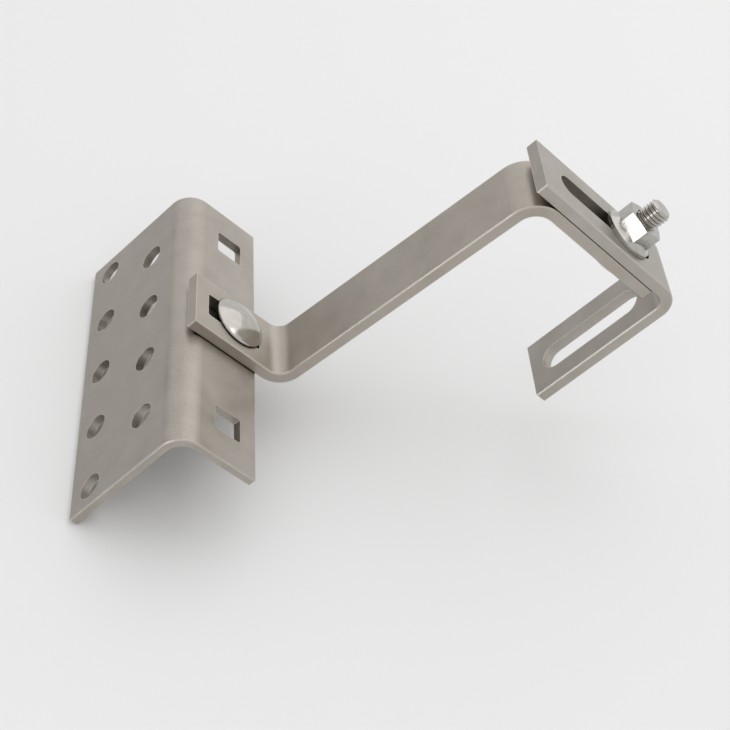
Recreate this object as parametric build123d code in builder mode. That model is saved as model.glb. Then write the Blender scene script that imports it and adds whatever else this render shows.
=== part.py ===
"""Adjustable solar roof hook, in millimetres, in its installed position.

The hook joins a rafter under a tiled roof to a mounting rail above the tiles. Its base plate
is an angle that is screwed to the rafter. A flat-bar arm, bent twice, passes out between the
tiles, and a slotted angle bracket at its end carries the rail. One carriage bolt and flange
nut clamp each of the two slotted joints, so that the hook's height can be set.

+Z points away from the rafter, +X runs along the arm towards the rail and Y is across the
hook. z = 0 is the face that lies on the rafter, and x = 0 is midway between the two columns
of screw holes. The hook is clamped near the middle of its travel.
"""

import os
from math import cos, radians, tan

from build123d import *

os.makedirs("parts", exist_ok=True)

# Stock: sheet for the base plate, flat bar for the arm and the bracket.
plate_thickness = 3.5
bar_thickness = 5.0
bar_width = 30.0
edge_bevel = 0.4  # tumbled edges of the cut plates
punch_corner_radius = 1.0  # corners of the square holes and of the arm's slot

# Fasteners, M10: carriage bolts with a square neck, and flange nuts.
bolt_d = 10.0
head_d = 23.5
head_height = 4.6
head_rim = 1.0
neck_size = bolt_d
neck_height = 4.8  # stays inside the bar, so that the nut can clamp
base_bolt_length = 25.0
rail_bolt_length = 28.0
nut_flats = 16.0
nut_height = 10.0
nut_bevel = 0.9
flange_d = 22.3
flange_rim = 1.6
flange_height = 3.6
thread_play = 0.1  # diameter left between bolt and nut
nut_turn_base = 15.0
nut_turn_rail = 48.0

# Clearances round the bolts.
neck_play = 2.5  # square holes and arm slot, over the bolt's neck
shank_play = 0.5  # bracket slot, over the bolt's shank
punch_play = 0.5  # square hole in the arm's end, over the neck

# Base plate: rafter leg with two staggered columns of screw holes, and an upright leg.
plate_width = 150.0
rafter_leg = 62.0
upright_leg = 37.5
plate_bend_radius = 6.5  # inside
screw_hole_d = 11.0
outer_screw_count = 5
screw_end_margin = 10.0
screw_edge_margin = 11.0
column_gap = 28.5
upright_hole_height = 23.5
upright_hole_spacing = 54.0

# Arm: upright foot, long rising shelf, and an upright end for the bracket.
arm_foot_height = 2.0  # lower end above the rafter face
arm_slot_margin = 6.5
arm_slot_length = 27.0
shelf_height = 46.6  # under the shelf, at the foot
shelf_rise = 3.7  # degrees
arm_reach = 129.5  # from the upright leg to the near face of the arm's end
arm_top = 122.0
rail_bolt_below_top = 18.0
foot_bend_radius = 6.0  # inside
end_bend_radius = 8.5  # inside

# Bracket: slotted leg against the arm, and slotted rail leg back over it.
rail_leg_over_arm = 8.0  # room between the arm's end and the rail leg
arm_leg = 81.5
rail_leg = 71.0
bracket_bend_radius = 4.5  # inside
arm_leg_slot_margin = 11.5
arm_leg_slot_length = 53.0
rail_slot_margin = 6.3
rail_slot_length = 49.0
rail_slot_width = 12.5

# Places that follow from the sizes above.
plate_front = rafter_leg - screw_edge_margin - column_gap / 2
plate_back = plate_front - plate_thickness
plate_edge = plate_front - rafter_leg
screw_pitch = (plate_width - 2 * screw_end_margin) / (outer_screw_count - 1)
neck_opening = neck_size + neck_play
arm_front = plate_front + bar_thickness
end_near = plate_front + arm_reach
end_far = end_near + bar_thickness
bracket_far = end_far + bar_thickness
rail_leg_end = bracket_far - rail_leg
rail_leg_under = arm_top + rail_leg_over_arm
bracket_top = rail_leg_under + bar_thickness
bracket_bottom = bracket_top - arm_leg
rail_bolt_height = arm_top - rail_bolt_below_top
base_bolt_shift = 0.4 * neck_play  # the neck rests against one corner of its opening
base_bolt_height = upright_hole_height + base_bolt_shift


def shelf_under(x):
    """Height of the shelf's lower face at x."""
    return shelf_height + (x - arm_front) * tan(radians(shelf_rise))


def shelf_over(x):
    """Height of the shelf's upper face at x."""
    return shelf_under(x) + bar_thickness / cos(radians(shelf_rise))


def corner(sketch, x, z):
    """The sketch's corner nearest to a place in the hook's side view."""
    return sketch.vertices().sort_by_distance((x, z, 0))[0]


def bevel_sides(plate):
    """Break the cut edges of a bent plate, on its two sides across the hook."""
    sides = plate.faces().filter_by(Axis.Y).sort_by(Axis.Y)
    chamfer(sides[0].edges() + sides[-1].edges(), edge_bevel)


# Base plate: a wide angle, screw holes in the rafter leg, square holes in the upright leg.
with BuildPart() as base_plate:
    with BuildSketch(Plane.XZ) as angle:
        with BuildLine():
            Polyline(
                (plate_edge, 0),
                (plate_front, 0),
                (plate_front, upright_leg),
                (plate_back, upright_leg),
                (plate_back, plate_thickness),
                (plate_edge, plate_thickness),
                close=True,
            )
        make_face()
        fillet(corner(angle, plate_front, 0), plate_bend_radius + plate_thickness)
        fillet(corner(angle, plate_back, plate_thickness), plate_bend_radius)
    extrude(amount=plate_width / 2, both=True)
    bevel_sides(base_plate)
    with BuildSketch():
        with Locations((-column_gap / 2, 0)):
            with GridLocations(0, screw_pitch, 1, outer_screw_count):
                Circle(screw_hole_d / 2)
        with Locations((column_gap / 2, 0)):
            with GridLocations(0, screw_pitch, 1, outer_screw_count - 1):
                Circle(screw_hole_d / 2)
    extrude(amount=plate_thickness, mode=Mode.SUBTRACT)
    with BuildSketch(Plane.YZ.offset(plate_back)):
        with Locations((0, upright_hole_height)):
            with GridLocations(upright_hole_spacing, 0, 3, 1):
                RectangleRounded(neck_opening, neck_opening, punch_corner_radius)
    extrude(amount=plate_thickness, mode=Mode.SUBTRACT)
base_plate.part.label = "base_plate"
export_step(base_plate.part, "parts/base_plate.step")

# Arm: one flat bar, bent out over the rafter leg's edge and up again beside the tile.
with BuildPart() as hook_arm:
    with BuildSketch(Plane.XZ) as bar:
        with BuildLine():
            Polyline(
                (plate_front, arm_foot_height),
                (arm_front, arm_foot_height),
                (arm_front, shelf_under(arm_front)),
                (end_far, shelf_under(end_far)),
                (end_far, arm_top),
                (end_near, arm_top),
                (end_near, shelf_over(end_near)),
                (plate_front, shelf_over(plate_front)),
                close=True,
            )
        make_face()
        fillet(corner(bar, arm_front, shelf_under(arm_front)), foot_bend_radius)
        fillet(corner(bar, end_near, shelf_over(end_near)), end_bend_radius)
        fillet(corner(bar, end_far, shelf_under(end_far)), end_bend_radius + bar_thickness)
        fillet(corner(bar, plate_front, shelf_over(plate_front)), foot_bend_radius + bar_thickness)
    extrude(amount=bar_width / 2, both=True)
    bevel_sides(hook_arm)
    with BuildSketch(Plane.YZ.offset(plate_front)):
        with Locations((0, arm_foot_height + arm_slot_margin + arm_slot_length / 2)):
            RectangleRounded(neck_opening, arm_slot_length, punch_corner_radius)
    extrude(amount=bar_thickness, mode=Mode.SUBTRACT)
    with BuildSketch(Plane.YZ.offset(end_near)):
        with Locations((0, rail_bolt_height)):
            Rectangle(neck_size + punch_play, neck_size + punch_play)
    extrude(amount=bar_thickness, mode=Mode.SUBTRACT)
hook_arm.part.label = "hook_arm"
export_step(hook_arm.part, "parts/hook_arm.step")

# Bracket: an angle of the same bar, with a round-ended slot along each leg.
with BuildPart() as end_bracket:
    with BuildSketch(Plane.XZ) as elbow:
        with BuildLine():
            Polyline(
                (end_far, bracket_bottom),
                (bracket_far, bracket_bottom),
                (bracket_far, bracket_top),
                (rail_leg_end, bracket_top),
                (rail_leg_end, rail_leg_under),
                (end_far, rail_leg_under),
                close=True,
            )
        make_face()
        fillet(corner(elbow, bracket_far, bracket_top), bracket_bend_radius + bar_thickness)
        fillet(corner(elbow, end_far, rail_leg_under), bracket_bend_radius)
    extrude(amount=bar_width / 2, both=True)
    bevel_sides(end_bracket)
    with BuildSketch(Plane.YZ.offset(end_far)):
        with Locations((0, bracket_bottom + arm_leg_slot_margin + arm_leg_slot_length / 2)):
            SlotOverall(arm_leg_slot_length, bolt_d + shank_play, rotation=90)
    extrude(amount=bar_thickness, mode=Mode.SUBTRACT)
    with BuildSketch(Plane.XY.offset(rail_leg_under)):
        with Locations((rail_leg_end + rail_slot_margin + rail_slot_length / 2, 0)):
            SlotOverall(rail_slot_length, rail_slot_width)
    extrude(amount=bar_thickness, mode=Mode.SUBTRACT)
end_bracket.part.label = "end_bracket"
export_step(end_bracket.part, "parts/end_bracket.step")


def carriage_bolt(seat, length):
    """Domed head outside the seat plane, square neck and shank behind it."""
    with BuildSketch(Plane(seat.origin, x_dir=seat.x_dir, z_dir=-seat.y_dir)) as half:
        with BuildLine():
            Polyline(
                (0, head_height),
                (0, -length),
                (bolt_d / 2, -length),
                (bolt_d / 2, 0),
                (head_d / 2, 0),
                (head_d / 2, head_rim),
            )
            TangentArc((0, head_height), (head_d / 2, head_rim), tangent=(1, 0))
        make_face()
    revolve(half.sketch, axis=Axis(seat.origin, seat.z_dir))
    with BuildSketch(seat) as neck:
        Rectangle(neck_size, neck_size)
    extrude(neck.sketch, amount=-neck_height)


def flange_nut(seat, turn):
    """Hexagon with bevelled corners on a round flange, which sits on the seat plane."""
    section = Plane(seat.origin, x_dir=seat.x_dir, z_dir=-seat.y_dir)
    axis = Axis(seat.origin, seat.z_dir)
    with BuildSketch(seat) as hexagon:
        RegularPolygon(nut_flats / 2, 6, major_radius=False, rotation=turn)
    extrude(hexagon.sketch, amount=nut_height)
    with BuildSketch(section) as bevel:
        with BuildLine():
            Polyline(
                (0, 0),
                (flange_d / 2, 0),
                (flange_d / 2, nut_height - nut_bevel),
                (nut_flats / 2 - nut_bevel / 2, nut_height),
                (0, nut_height),
                close=True,
            )
        make_face()
    revolve(bevel.sketch, axis=axis, mode=Mode.INTERSECT)
    with BuildSketch(section) as flange:
        with BuildLine():
            Polyline(
                (0, 0),
                (flange_d / 2, 0),
                (flange_d / 2, flange_rim),
                (nut_flats / 2, flange_height),
                (0, flange_height),
                close=True,
            )
        make_face()
    revolve(flange.sketch, axis=axis)
    with BuildSketch(seat) as bore:
        Circle((bolt_d + thread_play) / 2)
    extrude(bore.sketch, amount=nut_height, mode=Mode.SUBTRACT)


# Base bolt: its head bears on the arm's foot, its neck stands in the arm's slot.
with BuildPart() as base_bolt:
    carriage_bolt(
        Plane((arm_front, -base_bolt_shift, base_bolt_height), x_dir=(0, 1, 0), z_dir=(1, 0, 0)),
        base_bolt_length,
    )
base_bolt.part.label = "base_bolt"
export_step(base_bolt.part, "parts/base_bolt.step")

# Base nut: inside the base plate's angle, against the upright leg.
with BuildPart() as base_nut:
    flange_nut(
        Plane((plate_back, -base_bolt_shift, base_bolt_height), x_dir=(0, 1, 0), z_dir=(-1, 0, 0)),
        nut_turn_base,
    )
base_nut.part.label = "base_nut"
export_step(base_nut.part, "parts/base_nut.step")

# Rail bolt: its head bears on the near face of the arm's end, its neck in a square hole there.
with BuildPart() as rail_bolt:
    carriage_bolt(
        Plane((end_near, 0, rail_bolt_height), x_dir=(0, 1, 0), z_dir=(-1, 0, 0)),
        rail_bolt_length,
    )
rail_bolt.part.label = "rail_bolt"
export_step(rail_bolt.part, "parts/rail_bolt.step")

# Rail nut: clamps the bracket's slotted leg to the arm.
with BuildPart() as rail_nut:
    flange_nut(
        Plane((bracket_far, 0, rail_bolt_height), x_dir=(0, 1, 0), z_dir=(1, 0, 0)),
        nut_turn_rail,
    )
rail_nut.part.label = "rail_nut"
export_step(rail_nut.part, "parts/rail_nut.step")
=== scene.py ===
from math import asin, pi, radians

import bmesh
import bpy
from mathutils import Matrix, Vector


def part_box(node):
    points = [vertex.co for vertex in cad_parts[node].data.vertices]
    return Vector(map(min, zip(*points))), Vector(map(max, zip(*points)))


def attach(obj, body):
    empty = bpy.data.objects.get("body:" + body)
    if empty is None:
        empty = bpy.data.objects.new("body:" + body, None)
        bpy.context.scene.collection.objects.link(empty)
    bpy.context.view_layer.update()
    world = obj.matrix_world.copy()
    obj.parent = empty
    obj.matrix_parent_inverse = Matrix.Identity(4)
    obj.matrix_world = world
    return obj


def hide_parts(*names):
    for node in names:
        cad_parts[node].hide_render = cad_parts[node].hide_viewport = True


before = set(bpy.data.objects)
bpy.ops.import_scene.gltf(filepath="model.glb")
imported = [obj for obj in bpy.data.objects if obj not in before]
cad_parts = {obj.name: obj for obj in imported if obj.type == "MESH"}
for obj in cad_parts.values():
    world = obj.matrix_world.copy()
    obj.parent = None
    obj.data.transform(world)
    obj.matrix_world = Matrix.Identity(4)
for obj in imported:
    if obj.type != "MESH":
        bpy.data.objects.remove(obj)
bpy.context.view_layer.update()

# ---------------------------------------------------------------------------
# BASE PLATE
# A wide angle that is screwed to the rafter: 3.5 mm stainless sheet, sheared to size, punched
# with nine screw holes and two square holes, folded once, then pickled to a dull warm grey.


def put(tree, kind, feeds=None, **settings):
    """Place a node, set it, and give each input its value or the socket that feeds it."""
    placed = tree.nodes.new(kind)
    for name, value in settings.items():
        setattr(placed, name, value)
    for name, value in (feeds or {}).items():
        if isinstance(value, bpy.types.NodeSocket):
            tree.links.new(value, placed.inputs[name])
        else:
            placed.inputs[name].default_value = value
    return placed


def sums(tree, operation, *values):
    """The result of a Math node."""
    return put(tree, "ShaderNodeMath", dict(enumerate(values)), operation=operation).outputs[0]


def noise(tree, place, lumps_per_metre, detail=2.0):
    """A cloudy noise between 0 and 1."""
    feeds = {"Vector": place, "Scale": lumps_per_metre, "Detail": detail}
    return put(tree, "ShaderNodeTexNoise", feeds).outputs["Fac"]


def mix_colour(tree, share, first, second, blend="MIX"):
    """The first colour turned to the second by a share; a colour is a triple or a socket."""
    mixed = put(tree, "ShaderNodeMix", data_type="RGBA", blend_type=blend)
    tree.links.new(share, mixed.inputs["Factor"])
    for socket, colour in ((mixed.inputs[6], first), (mixed.inputs[7], second)):
        if isinstance(colour, bpy.types.NodeSocket):
            tree.links.new(colour, socket)
        else:
            socket.default_value = (*colour, 1)
    return mixed.outputs[2]


def shader_group(name, inputs, outputs):
    """A shader node group with named number sockets; gives the group, its input and its output."""
    group = bpy.data.node_groups.new(name, "ShaderNodeTree")
    for label, value in inputs.items():
        socket = group.interface.new_socket(label, in_out="INPUT", socket_type="NodeSocketFloat")
        socket.default_value = value
    for label in outputs:
        group.interface.new_socket(label, in_out="OUTPUT", socket_type="NodeSocketFloat")
    return group, put(group, "NodeGroupInput"), put(group, "NodeGroupOutput")


def grit_group():
    """The pickled skin of a plate: clouds, a change of tint, a fine grit, pits and rare specks."""
    group, given, result = shader_group(
        "pickled_grit",
        {"Cloud Scale": 90.0, "Grit Scale": 2200.0, "Cloud": 0.1, "Grit": 0.1},
        ("Shade", "Tint", "Speck", "Roughness Shift", "Height"),
    )
    middle_shade = 0.44
    cloud_to_roughness = 0.3
    tints_per_metre = 170.0
    pits_per_metre, pit_rim, pit_shade, pit_height = 420.0, 7.0, 0.06, 0.25
    specks_per_metre, speck_radius, specks_missing = 75.0, 0.035, 0.86
    place = put(group, "ShaderNodeTexCoord").outputs["Object"]
    cloud = noise(group, place, given.outputs["Cloud Scale"], detail=4.0)
    grit = noise(group, place, given.outputs["Grit Scale"])
    pits = put(group, "ShaderNodeTexVoronoi", {"Vector": place, "Scale": pits_per_metre})
    pit_wall = sums(group, "MULTIPLY", pits.outputs["Distance"], pit_rim)
    pit = sums(group, "SMOOTH_MIN", pit_wall, 1.0, 0.2)
    cloudy = sums(group, "SUBTRACT", cloud, 0.5)
    gritty = sums(group, "SUBTRACT", grit, 0.5)
    shade = sums(
        group,
        "ADD",
        sums(group, "MULTIPLY", cloudy, given.outputs["Cloud"]),
        sums(group, "MULTIPLY", gritty, given.outputs["Grit"]),
    )
    shade = sums(group, "ADD", sums(group, "MULTIPLY", pit, pit_shade), shade)
    shade = sums(group, "ADD", shade, middle_shade)
    spots = put(group, "ShaderNodeTexVoronoi", {"Vector": place, "Scale": specks_per_metre})
    chosen = put(group, "ShaderNodeSeparateColor", {"Color": spots.outputs["Color"]}).outputs["Red"]
    small = sums(group, "LESS_THAN", spots.outputs["Distance"], speck_radius)
    rare = sums(group, "GREATER_THAN", chosen, specks_missing)
    for label, value in (
        ("Shade", shade),
        ("Tint", noise(group, place, tints_per_metre)),
        ("Speck", sums(group, "MULTIPLY", small, rare)),
        ("Roughness Shift", sums(group, "MULTIPLY", cloudy, cloud_to_roughness)),
        ("Height", sums(group, "ADD", grit, sums(group, "MULTIPLY", pit, pit_height))),
    ):
        group.links.new(value, result.inputs[label])
    return group


def edge_group():
    """Painted highlight along the corners: 1 on an edge, 0 on a flat, broken up a little."""
    group, given, result = shader_group("rubbed_edge", {"Width": 0.0006, "Break": 500.0}, ("Edge",))
    turn_to_edge = 9.0
    least_rub = 0.3
    rounded = put(group, "ShaderNodeBevel", {"Radius": given.outputs["Width"]}, samples=6)
    flat = put(group, "ShaderNodeNewGeometry").outputs["Normal"]
    facing = put(
        group,
        "ShaderNodeVectorMath",
        {0: rounded.outputs["Normal"], 1: flat},
        operation="DOT_PRODUCT",
    ).outputs["Value"]
    place = put(group, "ShaderNodeTexCoord").outputs["Object"]
    broken = noise(group, place, given.outputs["Break"])
    turned = sums(group, "MULTIPLY", sums(group, "SUBTRACT", 1.0, facing), turn_to_edge)
    edge = put(
        group,
        "ShaderNodeMath",
        {0: turned, 1: sums(group, "ADD", broken, least_rub)},
        operation="MULTIPLY",
        use_clamp=True,
    )
    group.links.new(edge.outputs[0], result.inputs["Edge"])
    return group


def crevice_group():
    """Painted shade in narrow places: 1 in the open, towards 0 in a crevice or a gap between parts.
    """
    group, given, result = shader_group("dark_crevice", {"Reach": 0.001, "Depth": 1.0}, ("Open",))
    shut = put(group, "ShaderNodeAmbientOcclusion", {"Distance": given.outputs["Reach"]}, samples=8)
    closed = sums(group, "SUBTRACT", 1.0, shut.outputs["AO"])
    dark = put(
        group,
        "ShaderNodeMath",
        {0: 1.0, 1: sums(group, "MULTIPLY", closed, given.outputs["Depth"])},
        operation="SUBTRACT",
        use_clamp=True,
    )
    group.links.new(dark.outputs[0], result.inputs["Open"])
    return group


pickled_grit = grit_group()
dark_crevice = crevice_group()
rubbed_edge = edge_group()


olive_tint = (0.9, 0.945, 0.93)
speck_colour = (0.12, 0.11, 0.10)
# The near black of the painted shade in crevices and gaps.
crevice_colour = (0.03, 0.027, 0.022)


def pickled_steel(name, dark, light, rub, roughness, grit, clouds):
    """Pickled stainless steel: a dull warm grey that clouds from dark to light and to olive."""
    made = bpy.data.materials.new(name)
    made.use_nodes = True
    tree = made.node_tree
    skin = put(tree, "ShaderNodeGroup", {"Cloud": clouds, "Grit": grit}, node_tree=pickled_grit)
    edge = put(tree, "ShaderNodeGroup", node_tree=rubbed_edge).outputs["Edge"]
    crevice = put(tree, "ShaderNodeGroup", {"Depth": 1.5}, node_tree=dark_crevice)
    colour = mix_colour(tree, skin.outputs["Shade"], dark, light)
    olive = sums(tree, "MULTIPLY", skin.outputs["Tint"], 0.9)
    colour = mix_colour(tree, olive, colour, olive_tint, blend="MULTIPLY")
    specked = sums(tree, "MULTIPLY", skin.outputs["Speck"], 0.55)
    colour = mix_colour(tree, specked, colour, speck_colour)
    # Painted highlight: every edge is lightened towards a paler steel colour, and its roughness is
    # lowered.
    rubbed = sums(tree, "MULTIPLY", edge, 0.85)
    colour = mix_colour(tree, rubbed, colour, rub)
    # Painted shade: crevices and the gaps between parts are darkened towards near black, where
    # shadow falls.
    colour = mix_colour(tree, crevice.outputs["Open"], crevice_colour, colour)
    rough = sums(tree, "ADD", skin.outputs["Roughness Shift"], roughness)
    rough = sums(tree, "SUBTRACT", rough, sums(tree, "MULTIPLY", edge, 0.12))
    bump = put(
        tree,
        "ShaderNodeBump",
        {"Height": skin.outputs["Height"], "Strength": 0.35, "Distance": 0.00006},
    )
    steel = tree.nodes["Principled BSDF"]
    steel.inputs["Metallic"].default_value = 1.0
    tree.links.new(colour, steel.inputs["Base Color"])
    tree.links.new(rough, steel.inputs["Roughness"])
    tree.links.new(bump.outputs["Normal"], steel.inputs["Normal"])
    return made


def finish_node(node, material):
    """Give a CAD node its finish."""
    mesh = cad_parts[node].data
    mesh.materials.clear()
    mesh.materials.append(material)


finish_node(
    "base_plate",
    pickled_steel(
        "pickled_sheet",
        dark=(0.37, 0.325, 0.285),
        light=(0.52, 0.475, 0.435),
        rub=(0.68, 0.64, 0.60),
        roughness=0.46,
        grit=1.2,
        clouds=1.2,
    ),
)

# ---------------------------------------------------------------------------
# HOOK ARM
# One length of 30 x 5 mm stainless flat bar, bent twice: its foot stands on the base plate and
# its end carries the bracket. It is pickled as the plate is, and its rolled skin is finer.

finish_node(
    "hook_arm",
    pickled_steel(
        "pickled_arm_bar",
        dark=(0.38, 0.335, 0.29),
        light=(0.53, 0.48, 0.435),
        rub=(0.70, 0.66, 0.61),
        roughness=0.42,
        grit=1.0,
        clouds=1.0,
    ),
)

# ---------------------------------------------------------------------------
# END BRACKET
# An angle of the same flat bar with a long slot in each leg. One leg is clamped to the arm's
# end, and the rail is bolted on the other.

finish_node(
    "end_bracket",
    pickled_steel(
        "pickled_bracket_bar",
        dark=(0.38, 0.345, 0.305),
        light=(0.53, 0.49, 0.45),
        rub=(0.70, 0.67, 0.62),
        roughness=0.43,
        grit=1.0,
        clouds=1.0,
    ),
)

# ---------------------------------------------------------------------------
# FLANGE NUTS
# M10 stainless flange nuts, cold formed and tumbled bright, one on each carriage bolt. The
# washer under the hexagon is part of the nut.


def tumble_group():
    """Bright steel after tumbling: fine dents, short scratches and a faint stain."""
    group, given, result = shader_group(
        "tumbled_skin",
        {"Dent Scale": 900.0, "Scratch": 0.5},
        ("Shade", "Roughness Shift", "Height"),
    )
    stains_per_metre = 260.0
    scratches_per_metre = (9000.0, 500.0, 1200.0)
    scratch_slant = (0.5, 0.3, 0.8)
    plain_scratch, scratch_to_roughness = 0.2, 0.16
    place = put(group, "ShaderNodeTexCoord").outputs["Object"]
    dents = noise(group, place, given.outputs["Dent Scale"], detail=3.0)
    drawn = put(
        group,
        "ShaderNodeMapping",
        {"Vector": place, "Scale": scratches_per_metre, "Rotation": scratch_slant},
    )
    lines = noise(group, drawn.outputs["Vector"], 1.0, detail=1.0)
    scratched = sums(group, "MULTIPLY", lines, given.outputs["Scratch"])
    shift = sums(group, "SUBTRACT", scratched, plain_scratch)
    for label, value in (
        ("Shade", noise(group, place, stains_per_metre)),
        ("Roughness Shift", sums(group, "MULTIPLY", shift, scratch_to_roughness)),
        ("Height", sums(group, "ADD", dents, scratched)),
    ):
        group.links.new(value, result.inputs[label])
    return group


tumbled_skin = tumble_group()


def bright_steel(name, dark, light, roughness, dent_depth, scratch):
    """Bright stainless steel of a nut or a bolt."""
    made = bpy.data.materials.new(name)
    made.use_nodes = True
    tree = made.node_tree
    skin = put(tree, "ShaderNodeGroup", {"Scratch": scratch}, node_tree=tumbled_skin)
    edge = put(tree, "ShaderNodeGroup", {"Width": 0.0003}, node_tree=rubbed_edge)
    # Painted highlight: the edges of a nut or a bolt are lightened.
    rubbed = sums(tree, "MULTIPLY", edge.outputs["Edge"], 0.3)
    shade = sums(tree, "ADD", skin.outputs["Shade"], rubbed)
    bump = put(
        tree,
        "ShaderNodeBump",
        {"Height": skin.outputs["Height"], "Strength": 0.4, "Distance": dent_depth},
    )
    steel = tree.nodes["Principled BSDF"]
    steel.inputs["Metallic"].default_value = 1.0
    tree.links.new(mix_colour(tree, shade, dark, light), steel.inputs["Base Color"])
    rough = sums(tree, "ADD", skin.outputs["Roughness Shift"], roughness)
    tree.links.new(rough, steel.inputs["Roughness"])
    tree.links.new(bump.outputs["Normal"], steel.inputs["Normal"])
    return made


nut_steel = bright_steel(
    "bright_nut_steel",
    dark=(0.34, 0.33, 0.305),
    light=(0.55, 0.54, 0.505),
    roughness=0.16,
    dent_depth=0.00008,
    scratch=0.5,
)
for nut in ("base_nut", "rail_nut"):
    finish_node(nut, nut_steel)

# ---------------------------------------------------------------------------
# CARRIAGE BOLTS
# M10 carriage bolts with a low domed head, a square neck that stops them turning, and a rolled
# thread down to a bevelled point. The base bolt clamps the arm's foot, the rail bolt its end.

bolt_steel = bright_steel(
    "bright_bolt_steel",
    dark=(0.39, 0.37, 0.34),
    light=(0.55, 0.53, 0.49),
    roughness=0.15,
    dent_depth=0.00003,
    scratch=0.6,
)
head_radius = 0.01175
head_height = 0.0046
head_rim = 0.001
rim_round = 0.0003
underside_lift = 0.00002  # a hair off the bar, which slides under it
neck_width = 0.010
neck_height = 0.0048
neck_round = 0.0006
neck_overlap = 0.0003  # how far the neck reaches into the head
thread_radius = 0.00496
thread_root = 0.0041
thread_pitch = 0.0015
thread_point = 0.0039  # radius of the flat end inside its bevel
base_bolt_length = 0.025
rail_bolt_length = 0.028


def domed_head(bolt):
    """The head, its underside at x = 0 and its dome towards -x."""
    rise = head_height - head_rim
    dome = (head_radius**2 + rise**2) / (2 * rise)
    crown = bolt.verts.new((-head_height, 0, 0))
    swept = bmesh.ops.spin(
        bolt,
        geom=[crown],
        cent=(dome - head_height, 0, 0),
        axis=(0, 0, 1),
        angle=-asin(head_radius / dome),
        steps=18,
    )
    rim = [v for v in swept["geom_last"] if isinstance(v, bmesh.types.BMVert)][0]
    for x, y in (
        (-0.0003, head_radius - 0.00005),
        (-underside_lift, head_radius - 0.0004),
        (-underside_lift, 0),
    ):
        under = bolt.verts.new((x, y, 0))
        bolt.edges.new((rim, under))
        rim = under
    profile = bolt.verts[:] + bolt.edges[:]
    bmesh.ops.spin(
        bolt, geom=profile, cent=(0, 0, 0), axis=(1, 0, 0), angle=2 * pi, steps=96, use_merge=True
    )
    bmesh.ops.remove_doubles(bolt, verts=bolt.verts, dist=1e-6)
    rim = [
        e
        for e in bolt.edges
        if all(v.co.yz.length > head_radius - 0.0001 for v in e.verts)
        and abs(e.verts[0].co.x - e.verts[1].co.x) < 1e-7
    ]
    bmesh.ops.bevel(
        bolt, geom=rim, offset=rim_round, segments=3, profile=0.5, affect="EDGES", material=-1
    )


def rolled_thread(bolt, start, end):
    """A right-hand thread along +x, closed at both ends, with a bevel at its end."""
    flank = thread_pitch / 8
    crest = thread_pitch - 2 * flank
    middle = 0.5 * (thread_root + thread_radius)
    root_rise = 0.00002
    steps = 40
    turns = round((end - start) / thread_pitch) + 3
    ridge = (
        (0, thread_root),
        (flank, thread_root + root_rise),
        (0.25 * thread_pitch, middle),
        (0.5 * thread_pitch - 0.5 * flank, thread_radius),
        (0.5 * thread_pitch + 0.5 * flank, thread_radius),
        (0.75 * thread_pitch, middle),
        (crest + flank, thread_root + root_rise),
        (thread_pitch, thread_root),
    )
    before = set(bolt.verts)
    points = [bolt.verts.new((start - thread_pitch + along, out, 0)) for along, out in ridge]
    edges = [bolt.edges.new(pair) for pair in zip(points, points[1:])]
    bmesh.ops.spin(
        bolt,
        geom=points + edges,
        cent=(0, 0, 0),
        axis=(1, 0, 0),
        dvec=(thread_pitch / steps, 0, 0),
        angle=2 * pi * turns,
        steps=steps * turns,
    )
    thread = [v for v in bolt.verts if v not in before]
    bmesh.ops.remove_doubles(bolt, verts=thread, dist=2e-6)
    for place, side in ((start, -1), (end, 1)):
        thread = [v for v in bolt.verts if v not in before]
        parts = set(thread)
        edges = [e for e in bolt.edges if e.verts[0] in parts and e.verts[1] in parts]
        faces = [f for f in bolt.faces if all(v in parts for v in f.verts)]
        cut = bmesh.ops.bisect_plane(
            bolt,
            geom=thread + edges + faces,
            dist=1e-7,
            plane_co=(place, 0, 0),
            plane_no=(side, 0, 0),
            clear_outer=True,
        )["geom_cut"]
        bmesh.ops.edgeloop_fill(bolt, edges=[e for e in cut if isinstance(e, bmesh.types.BMEdge)])
    for v in bolt.verts:
        if v in before:
            continue
        room = thread_point + (end - v.co.x)
        out = v.co.yz.length
        if out > room:
            v.co.y *= room / out
            v.co.z *= room / out


def carriage_bolt(name, node, length, seat, body):
    """A whole bolt that stands for its CAD node."""
    bolt = bmesh.new()
    domed_head(bolt)
    block = bmesh.ops.create_cube(bolt, size=1)["verts"]
    bmesh.ops.scale(bolt, verts=block, vec=(neck_height + neck_overlap, neck_width, neck_width))
    bmesh.ops.translate(bolt, verts=block, vec=((neck_height - neck_overlap) / 2, 0, 0))
    arrises = [e for e in bolt.edges if e.verts[0] in block and e.verts[1] in block]
    bmesh.ops.bevel(
        bolt, geom=arrises, offset=neck_round, segments=3, profile=0.5, affect="EDGES", material=-1
    )
    rolled_thread(bolt, neck_height - neck_round, length)
    bmesh.ops.recalc_face_normals(bolt, faces=bolt.faces)
    bmesh.ops.transform(bolt, matrix=seat, verts=bolt.verts)
    mesh = bpy.data.meshes.new(name)
    bolt.to_mesh(mesh)
    bolt.free()
    mesh.materials.append(bolt_steel)
    piece = bpy.data.objects.new(name, mesh)
    bpy.context.collection.objects.link(piece)
    mesh.shade_smooth()
    mesh.set_sharp_from_angle(angle=radians(32))
    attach(piece, body)
    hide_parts(node)


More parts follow.
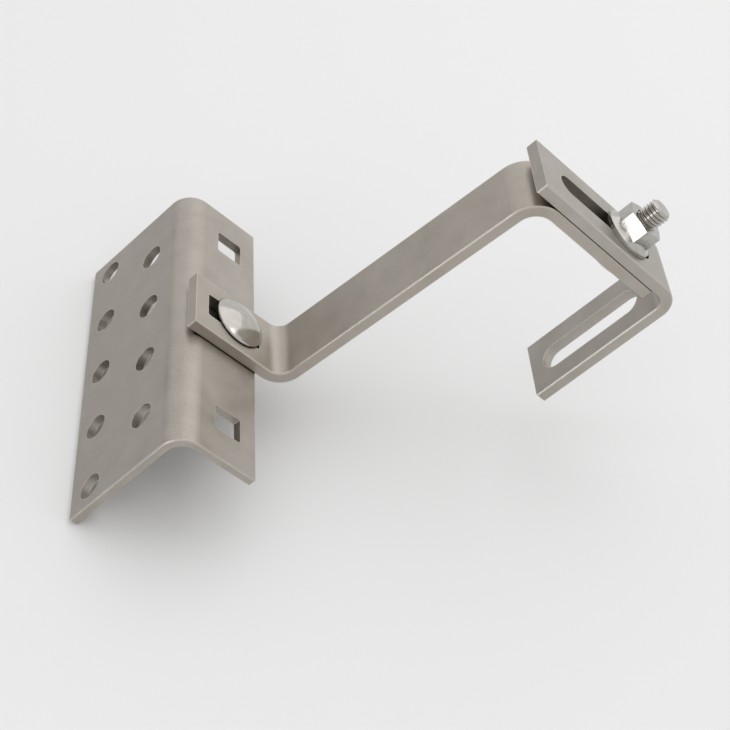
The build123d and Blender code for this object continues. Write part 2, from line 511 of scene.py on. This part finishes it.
base_low, base_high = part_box("base_bolt")
base_axis = (base_low + base_high) / 2
carriage_bolt(
    "base_carriage_bolt",
    "base_bolt",
    base_bolt_length,
    Matrix.Translation((base_high.x - head_height, base_axis.y, base_axis.z))
    @ Matrix.Rotation(pi, 4, "Z"),
    "base",
)
rail_low, rail_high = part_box("rail_bolt")
rail_axis = (rail_low + rail_high) / 2
carriage_bolt(
    "rail_carriage_bolt",
    "rail_bolt",
    rail_bolt_length,
    Matrix.Translation((rail_low.x + head_height, rail_axis.y, rail_axis.z)),
    "arm",
)

# ---------------------------------------------------------------------------
# STAGE
# A white studio table under the rafter leg's free edge, tilted so that the bracket clears it at
# its highest, in a pale room with a window on the left, a lamp on the right and a light behind.

plate_edge = Vector((-0.02525, 0, 0.0035))
raised_rail_leg = Vector((0.10525, 0, 0.1795))
along_table = (raised_rail_leg - plate_edge).normalized()
table_up = Vector((0, 1, 0)).cross(along_table)
table_reach = 2.5
table_gap = 0.0002

table = bmesh.new()
bmesh.ops.create_grid(table, x_segments=1, y_segments=1, size=table_reach)
facing = Matrix((along_table, table_up.cross(along_table), table_up)).transposed().to_4x4()
bmesh.ops.transform(
    table,
    matrix=Matrix.Translation((plate_edge + raised_rail_leg) / 2 - table_gap * table_up) @ facing,
    verts=table.verts,
)
table_mesh = bpy.data.meshes.new("table_top")
table.to_mesh(table_mesh)
table.free()
table_top = bpy.data.objects.new("table_top", table_mesh)
bpy.context.collection.objects.link(table_top)

laminate = bpy.data.materials.new("white_table")
laminate.use_nodes = True
tree = laminate.node_tree
board = tree.nodes["Principled BSDF"]
board.inputs["Roughness"].default_value = 0.55
board.inputs["Base Color"].default_value = (0.80, 0.80, 0.80, 1)
below = put(tree, "ShaderNodeNewGeometry").outputs["Backfacing"]
clear = put(tree, "ShaderNodeBsdfTransparent")
both = put(tree, "ShaderNodeMixShader", {"Fac": below})
tree.links.new(board.outputs["BSDF"], both.inputs[1])
tree.links.new(clear.outputs["BSDF"], both.inputs[2])
tree.links.new(both.outputs["Shader"], tree.nodes["Material Output"].inputs["Surface"])
table_mesh.materials.append(laminate)

room = bpy.data.worlds.new("studio_room")
bpy.context.scene.world = room
room.use_nodes = True
tree = room.node_tree
look = put(tree, "ShaderNodeTexCoord").outputs["Generated"]
dim_corner = Vector((-0.9, -0.25, -0.45)).normalized()
towards = put(
    tree, "ShaderNodeVectorMath", {0: look, 1: dim_corner}, operation="DOT_PRODUCT"
).outputs["Value"]
level = put(
    tree,
    "ShaderNodeMapRange",
    {"Value": towards, "From Min": 0.55, "From Max": 0.88, "To Min": 0.92, "To Max": 0.06},
    interpolation_type="SMOOTHSTEP",
)
walls = tree.nodes["Background"]
walls.inputs["Color"].default_value = (1.0, 1.0, 1.0, 1)
tree.links.new(level.outputs["Result"], walls.inputs["Strength"])

middle = Vector((0.075, 0, 0.045))


def soft_light(name, direction, distance, width, height, power, colour):
    """A rectangular light that faces the hook."""
    lamp = bpy.data.lights.new(name, "AREA")
    lamp.shape = "RECTANGLE"
    lamp.size, lamp.size_y = width, height
    lamp.energy = power
    lamp.color = colour
    holder = bpy.data.objects.new(name, lamp)
    out = Vector(direction).normalized()
    holder.location = middle + distance * out
    holder.rotation_euler = out.to_track_quat("Z", "Y").to_euler()
    bpy.context.collection.objects.link(holder)


far_side = Vector((0, -1, 0))
soft_light(
    "back_light",
    0.8 * table_up + 0.45 * far_side + 0.4 * along_table,
    0.95,
    1.0,
    0.9,
    1.35,
    (1.0, 1.0, 1.0),
)
soft_light("left_window", (-0.18, 0.69, -0.70), 0.93, 0.28, 0.28, 0.7, (0.97, 0.99, 1.0))
soft_light("right_lamp", (0.985, 0.06, 0.0), 1.1, 0.2, 0.2, 0.3, (1.0, 0.99, 0.97))

# ---------------------------------------------------------------------------
# CAMERA
# A long lens above the near side of the hook, looking down along it.

lens = bpy.data.cameras.new("studio_camera")
lens.sensor_width = 36.0
lens.lens = 81.53
camera = bpy.data.objects.new("studio_camera", lens)
camera.location = (0.35481, 0.50687, -0.26096)
camera.rotation_euler = (radians(-134.509), radians(-44.587), radians(4.498))
bpy.context.collection.objects.link(camera)
bpy.context.scene.camera = camera
bpy.context.scene.view_settings.view_transform = "Standard"
